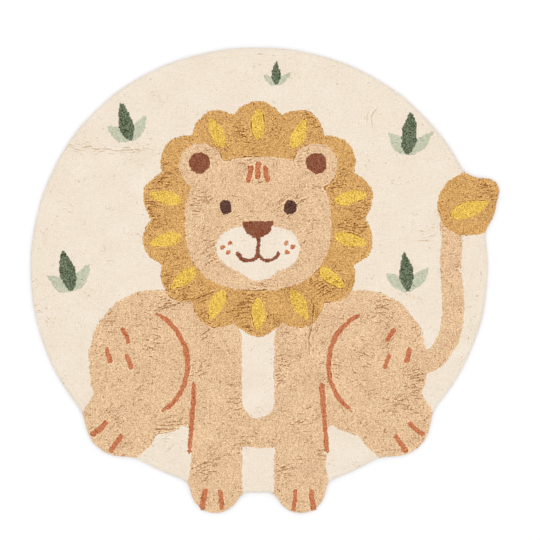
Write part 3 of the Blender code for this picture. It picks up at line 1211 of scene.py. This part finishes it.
def tuft_points(chosen):
    """The corners of the chosen tufts, a row of corners for each tuft."""
    half = np.select([at_shoulder, at_tip], [by_yarn("half")[chosen, None], 0.0], ROOT_HALF_WIDTH)
    size = 2 * half * width_share[chosen, None]
    cos, sin = np.cos(turn[chosen, None]), np.sin(turn[chosen, None])
    unit_x, unit_y = tuft_corners[:, 0], tuft_corners[:, 1]
    x = root_x[chosen, None] + lean_share * lean[0][chosen, None] + size * (cos * unit_x - sin * unit_y)
    y = root_y[chosen, None] + lean_share * lean[1][chosen, None] + size * (sin * unit_x + cos * unit_y)
    x = x + at_tip * tip_shift[0][chosen, None]
    y = y + at_tip * tip_shift[1][chosen, None]
    top, dome = tip_z[chosen, None], by_yarn("dome")[chosen, None]
    z = np.select([at_shoulder, at_tip], [top - dome, top], CLOTH_THICKNESS / 2)
    return np.stack([x, y, z], axis=2)


def crack_distance(chosen, points):
    """How far corners of the chosen tufts lie to one side of their crack, in its half widths."""
    root = np.stack([root_x, root_y], axis=1)[chosen, None]
    middle = root + lean_share[None, :, None] * lean.T[chosen, None]
    off_middle = points[:, :, :2] - middle
    aside = crack_aside[chosen, None] + np.einsum("tcs,st->tc", off_middle, across_crack[:, chosen])
    half = np.maximum(CRACK_HALF_WIDTH * crack_openness[chosen, None], TINY)
    return np.clip(aside / half, -NO_CRACK, NO_CRACK)


# %% Give the tufts their map and their shade
# At the rim light also falls in from the side, so there the tufts are hardly darker lower down.
RIM_LIGHT_REACH = 0.010
SHOULDER_LIGHT = 0.85  # away from the rim, where the tip has 1 and the root none
ROOT_RIM_LIGHT = 0.5  # of a root right at the rim
rim_light = fade(inset, RIM_LIGHT_REACH)
print("tufts that get light from the side:", int(np.sum(rim_light > 0)))


def sharpen_shoulders(mesh):
    """Parts the shading of each tuft's domed top from that of its sides."""
    ends = np.empty(2 * len(mesh.edges), dtype=np.int32)
    mesh.edges.foreach_get("vertices", ends)
    both = at_shoulder[ends.reshape(-1, 2) % len(tuft_corners)].all(axis=1)
    mesh.attributes.new("sharp_edge", "BOOLEAN", "EDGE").data.foreach_set("value", both)


def map_tufts(mesh, numbers):
    """Lays the tufts' maps side by side in one square."""
    squares = math.ceil(math.sqrt(len(numbers)))
    corner = np.stack([numbers % squares, numbers // squares], axis=2)
    layer = mesh.uv_layers.new(name="OFBake")
    layer.data.foreach_set("uv", ((tuft_map + corner) / squares).ravel())


def shade_tufts(mesh, chosen, points):
    """Gives each corner its tuft's tone, the light that gets to it and its distance from the crack."""
    from_side = rim_light[chosen, None]
    shoulder = SHOULDER_LIGHT + (1 - SHOULDER_LIGHT) * from_side
    light = np.select([at_shoulder, at_tip], [shoulder, 1.0], ROOT_RIM_LIGHT * from_side)
    values = np.broadcast_arrays(tone_and_shade[chosen, None], light, crack_distance(chosen, points))
    shading = mesh.attributes.new("tuft", "FLOAT_VECTOR", "POINT")
    shading.data.foreach_set("vector", np.stack(values, axis=2).ravel())


# %% Copy the tuft along the rows


def pile_mesh(name, chosen):
    """One mesh of the chosen tufts."""
    mesh = bpy.data.meshes.new(name)
    mesh.vertices.add(len(chosen) * len(tuft_corners))
    mesh.loops.add(len(chosen) * len(tuft_loops))
    mesh.polygons.add(len(chosen) * len(tuft_starts))
    points = tuft_points(chosen)
    numbers = np.arange(len(chosen))[:, None]
    mesh.vertices.foreach_set("co", points.ravel())
    mesh.loops.foreach_set("vertex_index", (tuft_loops + len(tuft_corners) * numbers).ravel())
    mesh.polygons.foreach_set("loop_start", (tuft_starts + len(tuft_loops) * numbers).ravel())
    mesh.update(calc_edges=True)
    mesh.shade_smooth()
    sharpen_shoulders(mesh)
    map_tufts(mesh, numbers)
    shade_tufts(mesh, chosen, points)
    return mesh


# %% [markdown]
# ## Cotton yarn
#
# All yarns are the same cotton in different dyes, so one node group makes the finish and each material
# gives it its own colours. A tuft is a bundle of thin strands, and from above one sees their cut ends: a
# Voronoi pattern of small cells, drawn out along the tuft so that its sides show the strands from the
# side. Noise would give clouds, where cells give ends. Every strand takes the dye a little differently,
# and every tuft has a tone too. Each strand is painted darker at its edge, as shade where it rounds off
# between its neighbours, and the lower a corner lies in the pile, the more painted shade it gets. A
# crack's shadow is painted as a dark line whose edge is ragged by single strands, and a painted highlight
# lies along one side of it. What is darker is also deeper in colour, because light that comes back from
# between fibres has met more of them. So the group mixes from a dull and shaded dye to the full one, and
# doesn't just dim it. It puts out only a colour and a height: shine and fuzz stay on each material's own
# shader.

# %% Strands and cracks as nodes
STRAND_SCALE = (600.0, 600.0, 60.0)  # strands to the metre across the tuft, and changes along it
FIBRE_SCALE = 1500.0
CRACK_RAGGED = 0.7  # how far single strands reach into a crack's painted shadow, in half widths of it
CRACK_CORE = 0.2  # in half widths too: nearer to its line a crack's painted shadow is fully dark
LIT_ASIDE = 1.9  # how far to one side of its line a crack catches the light
LIT_REACH = 0.9  # and how far round that


def do_range(tree, value, start, end):
    """A Map Range node: 0 where a value is at the start, 1 at the end, and evenly between."""
    made = add_node(tree, "ShaderNodeMapRange", From_Min=start, From_Max=end)
    tree.links.new(value, made.inputs["Value"])
    return made.outputs["Result"]


def strand_pattern(tree):
    """How far a place lies from its strand's middle, two random values of the strand, and its fibres."""
    place = tree.nodes.new("ShaderNodeTexCoord").outputs["Object"]
    stretch = add_node(tree, "ShaderNodeMapping", Scale=STRAND_SCALE)
    strands = add_node(tree, "ShaderNodeTexVoronoi", Scale=1.0)
    strand_values = tree.nodes.new("ShaderNodeSeparateColor")
    fibres = add_node(tree, "ShaderNodeTexNoise", Scale=FIBRE_SCALE, Detail=1.0)
    tree.links.new(place, stretch.inputs["Vector"])
    tree.links.new(stretch.outputs[0], strands.inputs["Vector"])
    tree.links.new(strands.outputs["Color"], strand_values.inputs[0])
    tree.links.new(place, fibres.inputs["Vector"])
    return strands.outputs["Distance"], *strand_values.outputs[:2], fibres.outputs["Fac"]


def crack_shade(tree, aside, strand_reach):
    """How dark a crack's painted shadow makes a place, and how much painted highlight its one side gets
    there.
    """
    ragged = do_maths(tree, "MULTIPLY", strand_reach, CRACK_RAGGED)
    off_line = do_maths(tree, "ADD", do_maths(tree, "ABSOLUTE", aside), ragged)
    off_lit = do_maths(tree, "ABSOLUTE", do_maths(tree, "SUBTRACT", aside, LIT_ASIDE))
    return do_range(tree, off_line, 1.0, CRACK_CORE), do_range(tree, off_lit, LIT_REACH, 0.0)


# %% The yarn's finish
# How much a dull tuft, a dull strand and a crack's painted shadow each take from the full dye, and how much
# the painted highlight on a crack's lit side gives to it.
TUFT_SHARE = 0.22
STRAND_SHARE = 0.85
CRACK_SHADOW_SHARE = 1.00
LIT_SHARE = 0.25
STRAND_DULLNESS = 0.70  # of a dull strand's middle
STRAND_SPREAD = 0.9  # how much less dull the brightest strand is
STRAND_EDGE_SHADE = 0.45  # painted shade: how much darker a strand is drawn at its edge, where it rounds off between its neighbours
DEEP_BELOW = 0.45  # with less light than this only the dull and shaded dye is seen: painted shade deep in the pile
FIBRE_HEIGHT = 0.3
YARN_SOCKETS = (
    ("Dye", "INPUT", "NodeSocketColor"),
    ("Dull and shaded dye", "INPUT", "NodeSocketColor"),
    ("Unevenness", "INPUT", "NodeSocketFloat"),
    ("Colour", "OUTPUT", "NodeSocketColor"),
    ("Strand height", "OUTPUT", "NodeSocketFloat"),
)


def make_yarn_group():
    """A node group that shades cut yarn from the tuft's own values."""
    group = bpy.data.node_groups.new("cut_yarn", "ShaderNodeTree")
    for name, way, kind in YARN_SOCKETS:
        group.interface.new_socket(name, in_out=way, socket_type=kind)
    given, made = group.nodes.new("NodeGroupInput"), group.nodes.new("NodeGroupOutput")

    values = group.nodes.new("ShaderNodeAttribute")
    values.attribute_name = "tuft"
    parts = group.nodes.new("ShaderNodeSeparateXYZ")
    group.links.new(values.outputs["Vector"], parts.inputs[0])
    tuft_tone_and_shade, light, aside = parts.outputs
    from_middle, strand_tone, strand_reach, fibres = strand_pattern(group)
    crack_shadow, lit_side = crack_shade(group, aside, strand_reach)

    dullness_and_shade = do_maths(group, "MULTIPLY_ADD", from_middle, STRAND_EDGE_SHADE, STRAND_DULLNESS)
    dullness_and_shade = do_maths(group, "MULTIPLY_ADD", strand_tone, -STRAND_SPREAD, dullness_and_shade)
    dullness_and_shade = do_maths(group, "MULTIPLY", dullness_and_shade, STRAND_SHARE)
    dullness_and_shade = do_maths(group, "MULTIPLY", dullness_and_shade, given.outputs["Unevenness"])
    dull_tuft = do_maths(group, "SUBTRACT", 1.0, tuft_tone_and_shade)
    for part, share in ((dull_tuft, TUFT_SHARE), (crack_shadow, CRACK_SHADOW_SHARE), (lit_side, -LIT_SHARE)):
        dullness_and_shade = do_maths(group, "MULTIPLY_ADD", part, share, dullness_and_shade)
    fullness = do_maths(group, "SUBTRACT", do_range(group, light, DEEP_BELOW, 1.0), dullness_and_shade)
    # the mix paints shade lower in the pile, in cracks and at strand edges by moving towards the dull and
    # shaded dye, and a painted highlight away from it
    colour = group.nodes.new("ShaderNodeMix")
    colour.data_type = "RGBA"
    colour.clamp_factor = True
    group.links.new(fullness, colour.inputs["Factor"])
    group.links.new(given.outputs["Dull and shaded dye"], colour.inputs["A"])
    group.links.new(given.outputs["Dye"], colour.inputs["B"])
    group.links.new(colour.outputs["Result"], made.inputs["Colour"])

    rounding = do_maths(group, "SUBTRACT", 1.0, from_middle)
    strand_height = do_maths(group, "MULTIPLY_ADD", fibres, FIBRE_HEIGHT, rounding)
    group.links.new(strand_height, made.inputs["Strand height"])
    return group


yarn_group = make_yarn_group()
print("the yarn's finish takes", len(yarn_group.nodes), "nodes")

# %% Dye the yarns
# dye: the full dye. deep: how much of its light comes back where it is deepest, which sets the dull and
# shaded dye that dull strands and painted shade show. unevenness: how unevenly the strands took it.
# warmth: how much more dye that deep light has met.
DYES = {
    "cream": {"dye": (0.745, 0.682, 0.593), "deep": 0.57, "unevenness": 0.11, "warmth": 3.3},
    "tan": {"dye": (0.927, 0.695, 0.447), "deep": 0.24, "unevenness": 0.62},
    "ochre": {"dye": (0.870, 0.544, 0.201), "deep": 0.16, "unevenness": 0.66},
    "gold": {"dye": (1.000, 0.733, 0.163), "deep": 0.26, "unevenness": 0.75},
    "dark_green": {"dye": (0.273, 0.311, 0.221), "deep": 0.12, "unevenness": 1.10},
    "light_green": {"dye": (0.619, 0.626, 0.523), "deep": 0.40, "unevenness": 0.66},
    "rust": {"dye": (0.655, 0.311, 0.147), "deep": 0.40, "unevenness": 0.80},
    "brown": {"dye": (0.314, 0.157, 0.091), "deep": 0.40, "unevenness": 0.90},
    "dark_brown": {"dye": (0.138, 0.088, 0.070), "deep": 0.40, "unevenness": 0.90},
}
WARMTH = 2.5  # of all but the cream
YARN_SHEEN = 0.05
YARN_BUMP = {"Strength": 0.6, "Distance": 0.0007}


def yarn_material(name):
    """Cut cotton pile in one dye."""
    dye = DYES[name]
    material, tree, shader = matt_material(f"{name}_yarn", YARN_SHEEN, dye["dye"])
    finish = tree.nodes.new("ShaderNodeGroup")
    finish.node_tree = yarn_group
    warmth = dye.get("warmth", WARMTH)
    # the dull and shaded dye: the colour that dull strands and the painted shade lower in the pile and in
    # cracks show
    deep = [dye["deep"] * part * (part / max(dye["dye"])) ** warmth for part in dye["dye"]]
    finish.inputs["Dye"].default_value = (*dye["dye"], 1.0)
    finish.inputs["Dull and shaded dye"].default_value = (*deep, 1.0)
    finish.inputs["Unevenness"].default_value = dye["unevenness"]
    bump = add_node(tree, "ShaderNodeBump", **YARN_BUMP)
    tree.links.new(finish.outputs["Colour"], shader.inputs["Base Color"])
    tree.links.new(finish.outputs["Strand height"], bump.inputs["Height"])
    tree.links.new(bump.outputs["Normal"], shader.inputs["Normal"])
    return material


# %% Tuft the rug
MOST_TUFTS = 14000  # in one piece
for number, name in enumerate(YARNS):
    material = yarn_material(name)
    members = np.flatnonzero(yarn == number)
    members = members[np.argsort(root_x[members], kind="stable")]
    shares = math.ceil(len(members) / MOST_TUFTS)
    for share, chosen in enumerate(np.array_split(members, shares)):
        piece_name = f"{name}_pile_{share + 1}"
        piece = in_scene(piece_name, pile_mesh(piece_name, chosen))
        piece.data.materials.append(material)
        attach(piece, "root")
        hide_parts("lion_rug")
        print(f"{piece_name}: {len(chosen) * tuft_triangles} triangles")
print("the pile has", len(root_x), "tufts,", len(root_x) * tuft_triangles, "triangles")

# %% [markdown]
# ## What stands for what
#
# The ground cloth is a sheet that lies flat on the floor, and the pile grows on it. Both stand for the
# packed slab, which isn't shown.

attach(ground_cloth, "root")
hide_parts("lion_rug")
